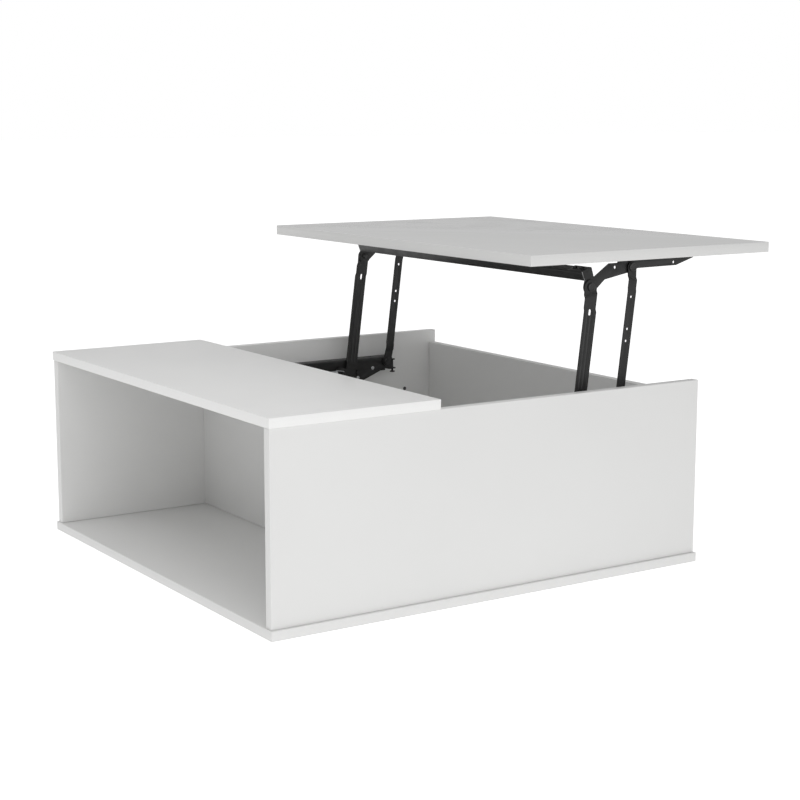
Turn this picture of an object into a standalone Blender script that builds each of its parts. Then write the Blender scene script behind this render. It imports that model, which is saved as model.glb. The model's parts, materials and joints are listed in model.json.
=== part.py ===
"""Lift top coffee table: a board carcass with an open shelf and a storage well,
and a lift top carried by a pair of black pressed steel lifting arms at each side.

Metres, +Z up. The origin is the centre of the base board's underside. The open shelf
faces -X, the fixed top is at the -X end, and the lift top stands raised over +X.
Heights are Z, and depths are measured inwards from the long edge of the base board.
"""

import math

import bmesh
import bpy
from mathutils import Matrix, Vector

# Carcass
LENGTH = 1.000
WIDTH = 0.974
BOARD = 0.019
GAP = 0.0003  # between pieces that touch
PANEL_INSET_X = 0.003
PANEL_INSET_Y = 0.006
PANEL_TOP = 0.379
END_PANEL_TOP = 0.3495
FIXED_TOP_LENGTH = 0.3605
TOP_INSET = 0.003
DIVIDER_FACE = -0.147  # the shelf's back
BOARD_EDGE_RADIUS = 0.0008

# Lift top, raised
LIFT_TOP_LENGTH = 0.617
LIFT_TOP_THICKNESS = 0.0212
LIFT_TOP_LEFT = 0.0625
LIFT_TOP_UNDERSIDE = 0.6302

# Lifting mechanism, raised: (x, z) of the pivots
ARM_LENGTH = 0.294
ARM_LEAN = math.radians(7.2)
FRONT_UPPER = Vector((0.2615, 0.5755))
REAR_UPPER = Vector((0.3670, 0.6100))
ARM_REACH = Vector((math.sin(ARM_LEAN), math.cos(ARM_LEAN))) * ARM_LENGTH
FRONT_LOWER = FRONT_UPPER - ARM_REACH
REAR_LOWER = REAR_UPPER - ARM_REACH
SHEET = 0.0025  # thickness of the arms, brackets and webs
BASE_WEB = 0.0560  # depths of the outer faces
LOWER_TAB = 0.0610
ARM_BLADE = 0.0630
UPPER_TAB = 0.0665
UPPER_PLATE = 0.0705
PIN_RADIUS = 0.0040
PIN_CLEARANCE = 0.00015
HEAD_RADIUS = 0.0086
HEAD_THICKNESS = 0.0028
SPRING_DEPTH = 0.0780
SPRING_ANCHOR = Vector((-0.100, 0.282))
SPRING_LUG = FRONT_LOWER + Vector((-0.0300, 0.0165))
SPRING_COIL_RADIUS = 0.0080
SPRING_LOOP_RADIUS = 0.0058
SPRING_WIRE = 0.0012  # radius
STOP_CENTRE = FRONT_LOWER + Vector((0.0228, 0.0130))
BRACKET_RIVETS = ((0.2500, 0.2836), (0.2918, 0.3037))
CROSS_BAR_SHEET = 0.0020
CROSS_BAR_TILT = math.radians(21)  # the bar and the tabs on it rise towards +X
CROSS_BAR_FLANGE = 0.0235
CROSS_BAR_WEB = 0.0181
NECK_CORNER = Vector((0.2415, 0.6071))
NECK_TOP = 0.0245  # length of the neck's top edge
BAR_SCREW_ALONG = 0.0125
BAR_SCREW_DEPTHS = (0.0870, 0.1070)
TAB_INNER = 0.1180  # depth of the tab's end
CHANNEL_WIDTH = 0.0245
CHANNEL_CENTRE = UPPER_PLATE + SHEET / 2
CHANNEL_SHEET = 0.0012
CHANNEL_HEIGHT = 0.0054
CHANNEL_LEFT = 0.183
CHANNEL_RIGHT = 0.540

SIDES = {"near": -1, "far": 1}
ROUND = 16  # sides of a round piece


def clear_scene():
    for scene_object in list(bpy.data.objects):
        bpy.data.objects.remove(scene_object, do_unlink=True)


def material(name, colour, roughness, metallic=0.0):
    made = bpy.data.materials.new(name)
    made.use_nodes = True
    shader = made.node_tree.nodes["Principled BSDF"]
    shader.inputs["Base Color"].default_value = (*colour, 1.0)
    shader.inputs["Roughness"].default_value = roughness
    shader.inputs["Metallic"].default_value = metallic
    made.diffuse_color = (*colour, 1.0)
    return made


def finish(name, mesh_data, surface, origin=(0, 0, 0), smooth=False):
    """Makes the object: its origin goes to the given point, and its shape stays put."""
    mesh = bpy.data.meshes.new(name)
    bmesh.ops.recalc_face_normals(mesh_data, faces=mesh_data.faces)
    mesh_data.to_mesh(mesh)
    mesh_data.free()
    mesh.transform(Matrix.Translation(-Vector(origin)))
    mesh.materials.append(surface)
    if smooth:
        mesh.shade_smooth()
        mesh.set_sharp_from_angle(angle=math.radians(35))
    made = bpy.data.objects.new(name, mesh)
    made.location = origin
    bpy.context.scene.collection.objects.link(made)
    return made


def combine(body, tool, operation):
    """One Boolean between two objects, kept in the body's mesh."""
    modifier = body.modifiers.new(operation.title(), "BOOLEAN")
    modifier.operation = operation
    modifier.solver = "EXACT"
    modifier.object = tool
    bpy.context.view_layer.update()
    evaluated = body.evaluated_get(bpy.context.evaluated_depsgraph_get())
    mesh = bpy.data.meshes.new_from_object(evaluated)
    body.modifiers.clear()
    mesh.name = body.name
    body.data = mesh
    bpy.data.objects.remove(tool)
    return body


def box_shape(low, high):
    shape = bmesh.new()
    bmesh.ops.create_cube(shape, size=1.0)
    size = Vector(high) - Vector(low)
    bmesh.ops.scale(shape, vec=size, verts=shape.verts)
    bmesh.ops.translate(shape, vec=(Vector(low) + Vector(high)) / 2, verts=shape.verts)
    return shape


def board(name, low, high, surface):
    made = finish(name, box_shape(low, high), surface)
    bevel = made.modifiers.new("Edge", "BEVEL")
    bevel.width = BOARD_EDGE_RADIUS
    bevel.segments = 2
    return made


def plate_shape(outline, y_low, y_high):
    """A flat piece: an outline in X and Z, extruded along Y."""
    shape = bmesh.new()
    corners = [shape.verts.new((x, y_low, z)) for x, z in outline]
    face = shape.faces.new(corners)
    extruded = bmesh.ops.extrude_face_region(shape, geom=[face])
    moved = [item for item in extruded["geom"] if isinstance(item, bmesh.types.BMVert)]
    bmesh.ops.translate(shape, vec=(0, y_high - y_low, 0), verts=moved)
    return shape


def tool(shape):
    """A cutter, or a shape to be joined, which the build leaves out."""
    mesh = bpy.data.meshes.new("tool")
    bmesh.ops.recalc_face_normals(shape, faces=shape.faces)
    shape.to_mesh(mesh)
    shape.free()
    made = bpy.data.objects.new("tool", mesh)
    made.hide_render = True
    made.display_type = "WIRE"
    bpy.context.scene.collection.objects.link(made)
    return made


def rod_shape(centre, radius, y_low, y_high, sides=ROUND):
    """A round bar along Y, centred on (x, z)."""
    shape = bmesh.new()
    length = y_high - y_low
    bmesh.ops.create_cone(
        shape, cap_ends=True, segments=sides, radius1=radius, radius2=radius, depth=abs(length)
    )
    bmesh.ops.rotate(shape, matrix=Matrix.Rotation(math.pi / 2, 3, "X"), verts=shape.verts)
    middle = Vector((centre[0], (y_low + y_high) / 2, centre[1]))
    bmesh.ops.translate(shape, vec=middle, verts=shape.verts)
    return shape


def turned_shape(profile, sides=ROUND):
    """A turned piece about +Z from (radius, height) points, closed at both ends."""
    shape = bmesh.new()
    ring = [shape.verts.new((radius, 0, height)) for radius, height in profile]
    edges = [shape.edges.new(pair) for pair in zip(ring, ring[1:])]
    bmesh.ops.spin(
        shape, geom=ring + edges, axis=(0, 0, 1), cent=(0, 0, 0),
        steps=sides, angle=math.tau, use_merge=True,
    )
    bmesh.ops.remove_doubles(shape, verts=shape.verts, dist=1e-6)
    bmesh.ops.holes_fill(shape, edges=shape.edges, sides=0)
    return shape


def arc(centre, radius, start, end, steps=8):
    """Points of an arc in X and Z, with its angles in degrees from +X towards +Z."""
    points = []
    for step in range(steps + 1):
        angle = math.radians(start + (end - start) * step / steps)
        points.append((centre[0] + radius * math.cos(angle), centre[1] + radius * math.sin(angle)))
    return points


def on_bar(along, above):
    """A point in X and Z given from the neck's top corner, along the tilted tab and square to it."""
    direction = Vector((math.cos(CROSS_BAR_TILT), math.sin(CROSS_BAR_TILT)))
    return NECK_CORNER + direction * along + Vector((-direction.y, direction.x)) * above


def depth_to_y(side, depth):
    return side * (WIDTH / 2 - depth)


def depth_range(side, outer, inner):
    """The two Y values of a layer between two depths, lower first."""
    return sorted((depth_to_y(side, outer), depth_to_y(side, inner)))


def along_arm(lower, along, across):
    """A point in X and Z given along an arm from its lower pivot, and across it to +X."""
    up = ARM_REACH / ARM_LENGTH
    return lower + up * along + Vector((up.y, -up.x)) * across


def build_carcass(body_board, top_board):
    half_length = LENGTH / 2
    half_width = WIDTH / 2
    panel_left = -half_length + PANEL_INSET_X
    panel_right = half_length - PANEL_INSET_X
    panel_out = half_width - PANEL_INSET_Y
    panel_in = panel_out - BOARD
    foot = BOARD + GAP
    board("base_board", (-half_length, -half_width, 0), (half_length, half_width, BOARD), body_board)
    for side_name, side in SIDES.items():
        y_low, y_high = sorted((side * panel_out, side * panel_in))
        board(
            f"side_panel_{side_name}", (panel_left, y_low, foot),
            (panel_right, y_high, PANEL_TOP), body_board,
        )
    clear_in = panel_in - GAP
    board(
        "end_panel", (panel_right - BOARD, -clear_in, foot),
        (panel_right, clear_in, END_PANEL_TOP), body_board,
    )
    board(
        "divider_panel", (DIVIDER_FACE, -clear_in, foot),
        (DIVIDER_FACE + BOARD, clear_in, PANEL_TOP - GAP), body_board,
    )
    top_low = PANEL_TOP + GAP
    board(
        "fixed_top", (-half_length + TOP_INSET / 2, -half_width + TOP_INSET, top_low),
        (-half_length + FIXED_TOP_LENGTH, half_width - TOP_INSET, top_low + BOARD), top_board,
    )


def build_lift_top(top_board, steel, zinc):
    half_width = WIDTH / 2 - TOP_INSET
    underside = LIFT_TOP_UNDERSIDE
    top = finish(
        "lift_top",
        box_shape(
            (LIFT_TOP_LEFT, -half_width, underside),
            (LIFT_TOP_LEFT + LIFT_TOP_LENGTH, half_width, underside + LIFT_TOP_THICKNESS),
        ),
        top_board,
    )
    screw_places = (CHANNEL_LEFT + 0.012, CHANNEL_RIGHT - 0.012)
    for side_name, side in SIDES.items():
        y_centre = depth_to_y(side, CHANNEL_CENTRE)
        build_channel(side_name, side, steel, screw_places)
        for number, x in enumerate(screw_places, 1):
            pilot = tool(screw_shape(0.0018 + GAP, 0.0151, 0.0018 + GAP, GAP))
            pilot.data.transform(Matrix.Translation((x, y_centre, underside - GAP)))
            combine(top, pilot, "DIFFERENCE")
            screw = screw_shape(0.0018, 0.0140, 0.0038, 0.0)
            bmesh.ops.translate(
                screw, vec=(x, y_centre, underside - GAP - CHANNEL_SHEET), verts=screw.verts
            )
            finish(f"channel_screw_{side_name}_{number}", screw, zinc, smooth=True)
    bevel = top.modifiers.new("Edge", "BEVEL")
    bevel.width = BOARD_EDGE_RADIUS
    bevel.segments = 2
    bevel.limit_method = "ANGLE"
    bevel.angle_limit = math.radians(80)


def screw_shape(shank, length, head, margin):
    """A countersunk screw standing on its head at Z = 0, with its shank going up."""
    cone = CHANNEL_SHEET
    return turned_shape(
        [(head, -margin), (head, 0.0), (shank, cone), (shank, length - 0.002), (shank * 0.3, length)],
        sides=12,
    )


def build_channel(side_name, side, steel, screw_places):
    """A folded channel under the lift top, in which the bracket's shoe slides."""
    outer = CHANNEL_CENTRE - CHANNEL_WIDTH / 2
    inner = CHANNEL_CENTRE + CHANNEL_WIDTH / 2
    ceiling = LIFT_TOP_UNDERSIDE - GAP
    floor = ceiling - CHANNEL_HEIGHT
    wall = CHANNEL_SHEET
    lip = 0.0060
    section = [
        (outer, floor), (outer + lip, floor), (outer + lip, floor + wall), (outer + wall, floor + wall),
        (outer + wall, ceiling - wall), (inner - wall, ceiling - wall), (inner - wall, floor + wall),
        (inner - lip, floor + wall), (inner - lip, floor), (inner, floor), (inner, ceiling), (outer, ceiling),
    ]
    shape = bmesh.new()
    corners = [shape.verts.new((CHANNEL_LEFT, depth_to_y(side, depth), z)) for depth, z in section]
    face = shape.faces.new(corners)
    extruded = bmesh.ops.extrude_face_region(shape, geom=[face])
    moved = [item for item in extruded["geom"] if isinstance(item, bmesh.types.BMVert)]
    bmesh.ops.translate(shape, vec=(CHANNEL_RIGHT - CHANNEL_LEFT, 0, 0), verts=moved)
    channel = finish(f"slide_channel_{side_name}", shape, steel)
    for x in screw_places:
        hole = tool(screw_shape(0.0018 + GAP, 0.004, 0.0038 + GAP, 0.0006))
        hole.data.transform(Matrix.Translation((x, depth_to_y(side, CHANNEL_CENTRE), ceiling - wall)))
        combine(channel, hole, "DIFFERENCE")


def build_base_bracket(side_name, side, steel, zinc, rubber):
    """Fixed bracket: a flange on the side panel, a level shelf and an upright web."""
    panel_face = PANEL_INSET_Y + BOARD + GAP
    top = 0.3288
    left, right = -0.1150, 0.3475
    bottom = 0.262
    foot = 0.297
    web_inner = BASE_WEB + SHEET
    web_outline = [
        (left, top), (left, bottom + 0.006), (left + 0.025, bottom), (0.2300, bottom),
        (0.3259, 0.3003), (right - 0.0075, foot), (right, foot), (right, top),
    ]
    bracket = finish(
        f"base_bracket_{side_name}",
        plate_shape(web_outline, *depth_range(side, BASE_WEB, web_inner)),
        steel,
    )
    shelf = box_shape(
        (left, depth_range(side, panel_face, web_inner - 0.0005)[0], top - 0.0020),
        (right, depth_range(side, panel_face, web_inner - 0.0005)[1], top - 0.0001),
    )
    combine(bracket, tool(shelf), "UNION")
    flange = box_shape(
        (left, depth_range(side, panel_face, panel_face + SHEET)[0], 0.290),
        (right, depth_range(side, panel_face, panel_face + SHEET)[1], top - 0.0002),
    )
    combine(bracket, tool(flange), "UNION")
    bolt_depth = 0.0480
    ear_low, ear_high = depth_range(side, bolt_depth - 0.0065, BASE_WEB + 0.001)
    ear = box_shape((right - 0.0065, ear_low, foot + 0.0001), (right + 0.0135, ear_high, foot + SHEET))
    combine(bracket, tool(ear), "UNION")

    bolt_place = (right + 0.0073, depth_to_y(side, bolt_depth))
    bolt_hole = tool(turned_shape([(0.0028, foot - 0.002), (0.0028, foot + 0.005)], sides=12))
    bolt_hole.data.transform(Matrix.Translation((*bolt_place, 0)))
    combine(bracket, bolt_hole, "DIFFERENCE")
    bolt = turned_shape([
        (0.0062, 0.2880), (0.0065, 0.2905), (0.0025, 0.2907), (0.0025, 0.3178),
        (0.0065, 0.3183), (0.0062, 0.3205),
    ])
    bmesh.ops.translate(bolt, vec=(*bolt_place, 0), verts=bolt.verts)
    finish(f"adjusting_bolt_{side_name}", bolt, steel, smooth=True)

    through = depth_range(side, BASE_WEB - 0.002, web_inner + 0.002)
    for centre in (FRONT_LOWER, REAR_LOWER):
        combine(bracket, tool(rod_shape(centre, PIN_RADIUS + PIN_CLEARANCE, *through)), "DIFFERENCE")
    stud_hole = 0.0030 + PIN_CLEARANCE
    for centre in (SPRING_ANCHOR, STOP_CENTRE, *BRACKET_RIVETS):
        combine(bracket, tool(rod_shape(centre, stud_hole, *through, sides=12)), "DIFFERENCE")
    screw_through = depth_range(side, panel_face - 0.002, panel_face + SHEET + 0.002)
    for x in (-0.080, 0.120, 0.325):
        hole = rod_shape((x, 0.308), 0.0022, *screw_through, sides=12)
        combine(bracket, tool(hole), "DIFFERENCE")

    stud(f"spring_anchor_{side_name}", side, SPRING_ANCHOR, 0.0030, BASE_WEB, 0.0845, 0.0050, zinc)
    stud(f"stop_buffer_{side_name}", side, STOP_CENTRE, 0.0030, BASE_WEB, 0.0600, 0.0060, rubber, 0.0075)
    for number, centre in enumerate(BRACKET_RIVETS, 1):
        stud(
            f"bracket_rivet_{side_name}_{number}", side, centre, 0.0030, BASE_WEB,
            web_inner + GAP, 0.0042, zinc, 0.0012,
        )


def stud(name, side, centre, shank, start, shoulder, head, surface, head_length=0.0020):
    """A round stud: its shank starts at one depth, and its head begins at the shoulder."""
    made = finish(name, rod_shape(centre, shank, *depth_range(side, start, shoulder + 0.0005)), surface)
    head_shape = rod_shape(centre, head, *depth_range(side, shoulder, shoulder + head_length))
    combine(made, tool(head_shape), "UNION")
    made.data.shade_smooth()
    made.data.set_sharp_from_angle(angle=math.radians(35))
    return made


def arm_sheet(lower, side, half_width, lower_bend, upper_bend):
    """A pressed arm seen edge on: a tab at each end, and a blade between, joined by two bends."""
    reach = 0.020
    end = ARM_LENGTH + reach
    ramp = 0.008
    line = [
        (-0.035, LOWER_TAB), (lower_bend, LOWER_TAB), (lower_bend + ramp, ARM_BLADE),
        (upper_bend - ramp, ARM_BLADE), (upper_bend, UPPER_TAB), (end, UPPER_TAB),
    ]
    section = line + [(along, depth + SHEET) for along, depth in reversed(line)]
    shape = bmesh.new()
    corners = []
    for along, depth in section:
        point = along_arm(lower, along, -half_width)
        corners.append(shape.verts.new((point.x, depth_to_y(side, depth), point.y)))
    face = shape.faces.new(corners)
    extruded = bmesh.ops.extrude_face_region(shape, geom=[face])
    moved = [item for item in extruded["geom"] if isinstance(item, bmesh.types.BMVert)]
    across = along_arm(lower, 0, half_width) - along_arm(lower, 0, -half_width)
    bmesh.ops.translate(shape, vec=(across.x, 0, across.y), verts=moved)
    return shape


def arm_outline(lower, half_width, end_radius, offset):
    """The blanked outline of an arm: a round end at each pivot, and a blade set off to one side."""
    lean = math.degrees(ARM_LEAN)
    upper = lower + ARM_REACH
    shoulder = 0.022
    outline = arc(upper, end_radius, 0 - lean, 180 - lean)
    outline.append(along_arm(lower, ARM_LENGTH - shoulder, offset - half_width)[:])
    outline.append(along_arm(lower, shoulder, offset - half_width)[:])
    outline += arc(lower, end_radius, 180 - lean, 360 - lean)
    outline.append(along_arm(lower, shoulder, offset + half_width)[:])
    outline.append(along_arm(lower, ARM_LENGTH - shoulder, offset + half_width)[:])
    return outline


def build_arm(name, side, lower, shape, steel, lug=None):
    """One lifting arm; its origin is on its lower pivot."""
    half_width, end_radius, offset, rib_depth, holes = shape
    y_wide = depth_range(side, LOWER_TAB - 0.010, UPPER_TAB + 0.010)
    arm = finish(name, arm_sheet(lower, side, 0.046, 0.022, ARM_LENGTH - 0.022), steel)
    blank = tool(plate_shape(arm_outline(lower, half_width, end_radius, offset), *y_wide))
    if lug:
        combine(blank, tool(lug_shape(lug, lower, y_wide)), "UNION")
    combine(arm, blank, "INTERSECT")
    rib_low, rib_high = depth_range(side, ARM_BLADE - rib_depth, ARM_BLADE + 0.001)
    for edge in (-1, 1):
        corners = [
            along_arm(lower, along, offset + edge * (half_width - margin))[:]
            for along, margin in (
                (0.044, 0.0004), (ARM_LENGTH - 0.044, 0.0004),
                (ARM_LENGTH - 0.048, 0.0024), (0.048, 0.0024),
            )
        ]
        combine(arm, tool(plate_shape(corners, rib_low, rib_high)), "UNION")
    for centre in (lower, lower + ARM_REACH):
        hole = rod_shape(centre, PIN_RADIUS + PIN_CLEARANCE, *y_wide)
        combine(arm, tool(hole), "DIFFERENCE")
    for along, across, radius, stretch in holes:
        lean = math.degrees(ARM_LEAN)
        outline = arc(along_arm(lower, along + stretch, across), radius, 0 - lean, 180 - lean, 6)
        outline += arc(along_arm(lower, along - stretch, across), radius, 180 - lean, 360 - lean, 6)
        combine(arm, tool(plate_shape(outline, *y_wide)), "DIFFERENCE")
    if lug:
        stem = rod_shape(lug, 0.0030, *depth_range(side, LOWER_TAB + 0.001, 0.0845), sides=14)
        combine(arm, tool(stem), "UNION")
        head = rod_shape(lug, 0.0050, *depth_range(side, 0.0843, 0.0865), sides=14)
        combine(arm, tool(head), "UNION")
    place_origin(arm, (lower.x, depth_to_y(side, ARM_BLADE), lower.y))


def lug_shape(lug, lower, y_wide):
    """The ear at a front arm's foot that carries the spring stud."""
    across = (lug - lower).normalized()
    square = Vector((-across.y, across.x))
    outline = [
        (lower + square * 0.012)[:], (lower - square * 0.012)[:], (lug - square * 0.0065)[:],
        (lug + across * 0.0060 - square * 0.0030)[:], (lug + across * 0.0060 + square * 0.0030)[:],
        (lug + square * 0.0065)[:],
    ]
    return plate_shape(outline, *y_wide)


def place_origin(made, origin):
    made.data.transform(Matrix.Translation(-Vector(origin)))
    made.location = origin


def upper_outline():
    """The upper bracket: a neck over the front pivot, a slanting body and a long tail."""
    neck_foot = CROSS_BAR_WEB + CROSS_BAR_SHEET + GAP
    return [
        on_bar(0, 0)[:], on_bar(0, -neck_foot)[:],
        *arc(FRONT_UPPER, 0.0155, 165, 330, 8),
        (0.2990, 0.5880), (0.3550, 0.5980), (0.3680, 0.5985), (0.3780, 0.6010), (0.3820, 0.6065),
        (0.4865, 0.6075), (0.5340, 0.6220), (0.5340, 0.6259), (0.3340, 0.6259), (0.3315, 0.6195),
        (0.3095, 0.6195), (0.2712, 0.5945), on_bar(NECK_TOP, -0.0008)[:], on_bar(NECK_TOP - 0.0010, 0)[:],
    ]


def build_upper_bracket(side_name, side, steel):
    inner = UPPER_PLATE + SHEET
    layer = depth_range(side, UPPER_PLATE, inner)
    origin = (FRONT_UPPER.x, depth_to_y(side, UPPER_PLATE), FRONT_UPPER.y)
    bracket = finish(f"upper_bracket_{side_name}", plate_shape(upper_outline(), *layer), steel)
    start, end = 0.0006, CROSS_BAR_FLANGE - 0.0010
    top = -0.0002
    tab = plate_shape(
        [
            on_bar(start, top)[:], on_bar(start, -CROSS_BAR_SHEET)[:],
            on_bar(end, -CROSS_BAR_SHEET)[:], on_bar(end, top)[:],
        ],
        *depth_range(side, UPPER_PLATE + 0.0005, TAB_INNER),
    )
    combine(bracket, tool(tab), "UNION")
    wide = depth_range(side, UPPER_PLATE - 0.003, inner + 0.003)
    for centre in (FRONT_UPPER, REAR_UPPER):
        combine(bracket, tool(rod_shape(centre, PIN_RADIUS + PIN_CLEARANCE, *wide)), "DIFFERENCE")
    for centre, radius in (((0.3250, 0.6110), 0.0030), ((0.4800, 0.6140), 0.0028)):
        combine(bracket, tool(rod_shape(centre, radius, *wide, sides=14)), "DIFFERENCE")
    for depth in BAR_SCREW_DEPTHS:
        combine(bracket, bar_screw_hole(side, depth), "DIFFERENCE")
    place_origin(bracket, origin)

    half_shoe = 0.01075
    shoe_low, shoe_high = depth_range(side, CHANNEL_CENTRE - half_shoe, CHANNEL_CENTRE + half_shoe)
    shoe = box_shape((0.3360, shoe_low, 0.6262), (0.5320, shoe_high, 0.6282))
    finish(f"slide_shoe_{side_name}", shoe, steel)

    for number, depth in enumerate(BAR_SCREW_DEPTHS, 1):
        screw = turned_shape([
            (0.0021, -0.0065), (0.0021, 0.0), (0.0046, 0.0), (0.0046, 0.0017), (0.0034, 0.0029),
        ])
        seat = on_bar(BAR_SCREW_ALONG, 0)
        lean = Matrix.Rotation(-CROSS_BAR_TILT, 3, "Y")
        bmesh.ops.rotate(screw, matrix=lean, verts=screw.verts)
        place = (seat.x, depth_to_y(side, depth), seat.y)
        bmesh.ops.translate(screw, vec=place, verts=screw.verts)
        finish(f"bar_screw_{side_name}_{number}", screw, steel, smooth=True)


def bar_screw_hole(side, depth):
    """The clearance hole of one screw through the cross bar and the bracket's tab."""
    hole = tool(turned_shape([(0.0024, -0.006), (0.0024, 0.006)], sides=12))
    seat = on_bar(BAR_SCREW_ALONG, -CROSS_BAR_SHEET)
    place = Matrix.Translation((seat.x, depth_to_y(side, depth), seat.y))
    hole.data.transform(place @ Matrix.Rotation(-CROSS_BAR_TILT, 4, "Y"))
    return hole


def build_cross_bar(steel):
    """A tilted angle that joins the two upper brackets, so that both sides lift together."""
    outer = UPPER_PLATE + SHEET + GAP
    y_high = depth_to_y(1, outer)
    wall = CROSS_BAR_SHEET
    top = -CROSS_BAR_SHEET - GAP
    bottom = top - CROSS_BAR_WEB
    section = [
        on_bar(0, bottom)[:], on_bar(wall, bottom)[:], on_bar(wall, top - wall)[:],
        on_bar(CROSS_BAR_FLANGE, top - wall)[:], on_bar(CROSS_BAR_FLANGE, top)[:], on_bar(0, top)[:],
    ]
    bar = finish("cross_bar", plate_shape(section, -y_high, y_high), steel)
    for side in SIDES.values():
        for depth in BAR_SCREW_DEPTHS:
            combine(bar, bar_screw_hole(side, depth), "DIFFERENCE")
    place_origin(bar, (FRONT_UPPER.x, 0, FRONT_UPPER.y))


def build_pins(side_name, side, steel):
    """Shouldered rivets: the lower heads face the well, and the upper heads face outwards."""
    inner = UPPER_PLATE + SHEET
    for end_name, lower in (("front", FRONT_LOWER), ("rear", REAR_LOWER)):
        head_start = LOWER_TAB + SHEET + GAP
        pin = finish(
            f"{end_name}_lower_pin_{side_name}",
            rod_shape(lower, PIN_RADIUS, *depth_range(side, BASE_WEB, head_start + 0.0005)),
            steel,
        )
        head = rod_shape(lower, HEAD_RADIUS, *depth_range(side, head_start, head_start + HEAD_THICKNESS))
        combine(pin, tool(head), "UNION")
        collar = rod_shape(
            lower, 0.0065, *depth_range(side, BASE_WEB + SHEET + GAP, LOWER_TAB - GAP)
        )
        combine(pin, tool(collar), "UNION")
        place_origin(pin, (lower.x, depth_to_y(side, BASE_WEB), lower.y))

        upper = lower + ARM_REACH
        head_end = UPPER_TAB - GAP
        pin = finish(
            f"{end_name}_upper_pin_{side_name}",
            rod_shape(upper, PIN_RADIUS, *depth_range(side, head_end - 0.0005, inner + 0.0030)),
            steel,
        )
        head = rod_shape(upper, HEAD_RADIUS, *depth_range(side, head_end - HEAD_THICKNESS, head_end))
        combine(pin, tool(head), "UNION")
        collar = rod_shape(
            upper, 0.0065, *depth_range(side, UPPER_TAB + SHEET + GAP, UPPER_PLATE - GAP)
        )
        combine(pin, tool(collar), "UNION")
        rivet = rod_shape(upper, 0.0060, *depth_range(side, inner + GAP, inner + 0.0030))
        combine(pin, tool(rivet), "UNION")
        place_origin(pin, (upper.x, depth_to_y(side, UPPER_TAB), upper.y))


def loop_points(centre, start, end):
    """An end loop of the spring, turned about a point on its axis, with angles in degrees."""
    return [(x, 0.0, z) for x, z in arc((centre, 0.0), SPRING_LOOP_RADIUS, start, end, 9)]


def spring_paths(length):
    """Centre lines in the spring's own frame along +X: the coil with its anchor loop, and the hook."""
    pitch = 0.0115
    steps = 8
    start, end = 0.060, length - 0.030
    turns = int((end - start) / pitch)
    coil = loop_points(0.0, -215, 0) + [(0.030, 0.0, 0.002)]
    for step in range(turns * steps + 1):
        angle = math.tau * step / steps
        x = start + (end - start) * step / (turns * steps)
        coil.append((x, SPRING_COIL_RADIUS * math.sin(angle), SPRING_COIL_RADIUS * math.cos(angle)))
    hook = [(end + 0.0040, 0.0, SPRING_COIL_RADIUS), (end + 0.0120, 0.0, 0.002)]
    hook += loop_points(length, 180, 395)
    return coil, hook


def build_spring(side_name, side, zinc):
    """A tension spring as two wires, because its hook moves away from its anchor as it stretches."""
    direction = SPRING_LUG - SPRING_ANCHOR
    slope = math.atan2(direction.y, direction.x)
    turn = Matrix.Rotation(-slope, 4, "Y")
    names = ("lift_spring", "spring_hook")
    for name, points in zip(names, spring_paths(direction.length)):
        curve = bpy.data.curves.new(f"{name}_{side_name}", "CURVE")
        curve.dimensions = "3D"
        curve.bevel_depth = SPRING_WIRE
        curve.bevel_resolution = 1
        curve.use_fill_caps = True
        curve.materials.append(zinc)
        spline = curve.splines.new("POLY")
        spline.points.add(len(points) - 1)
        for target, point in zip(spline.points, points):
            target.co = (*(turn @ Vector(point)), 1.0)
        made = bpy.data.objects.new(curve.name, curve)
        made.location = (SPRING_ANCHOR.x, depth_to_y(side, SPRING_DEPTH), SPRING_ANCHOR.y)
        bpy.context.scene.collection.objects.link(made)


def build_panel_cams(dark):
    """Dark covers of the cam fittings in the side panels' inner faces."""
    face = PANEL_INSET_Y + BOARD + GAP
    for side_name, side in SIDES.items():
        cap = rod_shape((0.406, 0.239), 0.0045, *depth_range(side, face, face + 0.0008), sides=16)
        finish(f"panel_cam_cap_{side_name}", cap, dark, smooth=True)


def main():
    clear_scene()
    body_board = material("white_melamine", (0.78, 0.78, 0.78), 0.45)
    top_board = material("high_gloss_white", (0.80, 0.80, 0.80), 0.08)
    steel = material("black_powder_coat", (0.022, 0.022, 0.022), 0.45)
    zinc = material("zinc_plate", (0.60, 0.60, 0.60), 0.30, 1.0)
    rubber = material("black_rubber", (0.015, 0.015, 0.015), 0.75)
    build_carcass(body_board, top_board)
    build_lift_top(top_board, steel, zinc)
    # half width, end radius, blade offset, flange depth, holes (along, across, radius, half slot)
    front_shape = (0.0145, 0.0150, 0.0005, 0.0030, ((0.2445, 0.001, 0.0030, 0.0035),))
    rear_holes = tuple((along, 0.0030, 0.0028, 0.0001) for along in (0.2345, 0.1700, 0.1458))
    rear_shape = (0.0102, 0.0108, 0.0030, 0.0012, rear_holes)
    for side_name, side in SIDES.items():
        build_base_bracket(side_name, side, steel, zinc, rubber)
        build_arm(f"front_arm_{side_name}", side, FRONT_LOWER, front_shape, steel, SPRING_LUG)
        build_arm(f"rear_arm_{side_name}", side, REAR_LOWER, rear_shape, steel)
        build_upper_bracket(side_name, side, steel)
        build_pins(side_name, side, steel)
        build_spring(side_name, side, zinc)
    build_cross_bar(steel)
    build_panel_cams(rubber)


main()
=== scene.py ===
import json
import math

import bmesh
import bpy
from mathutils import Matrix, Vector


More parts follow.
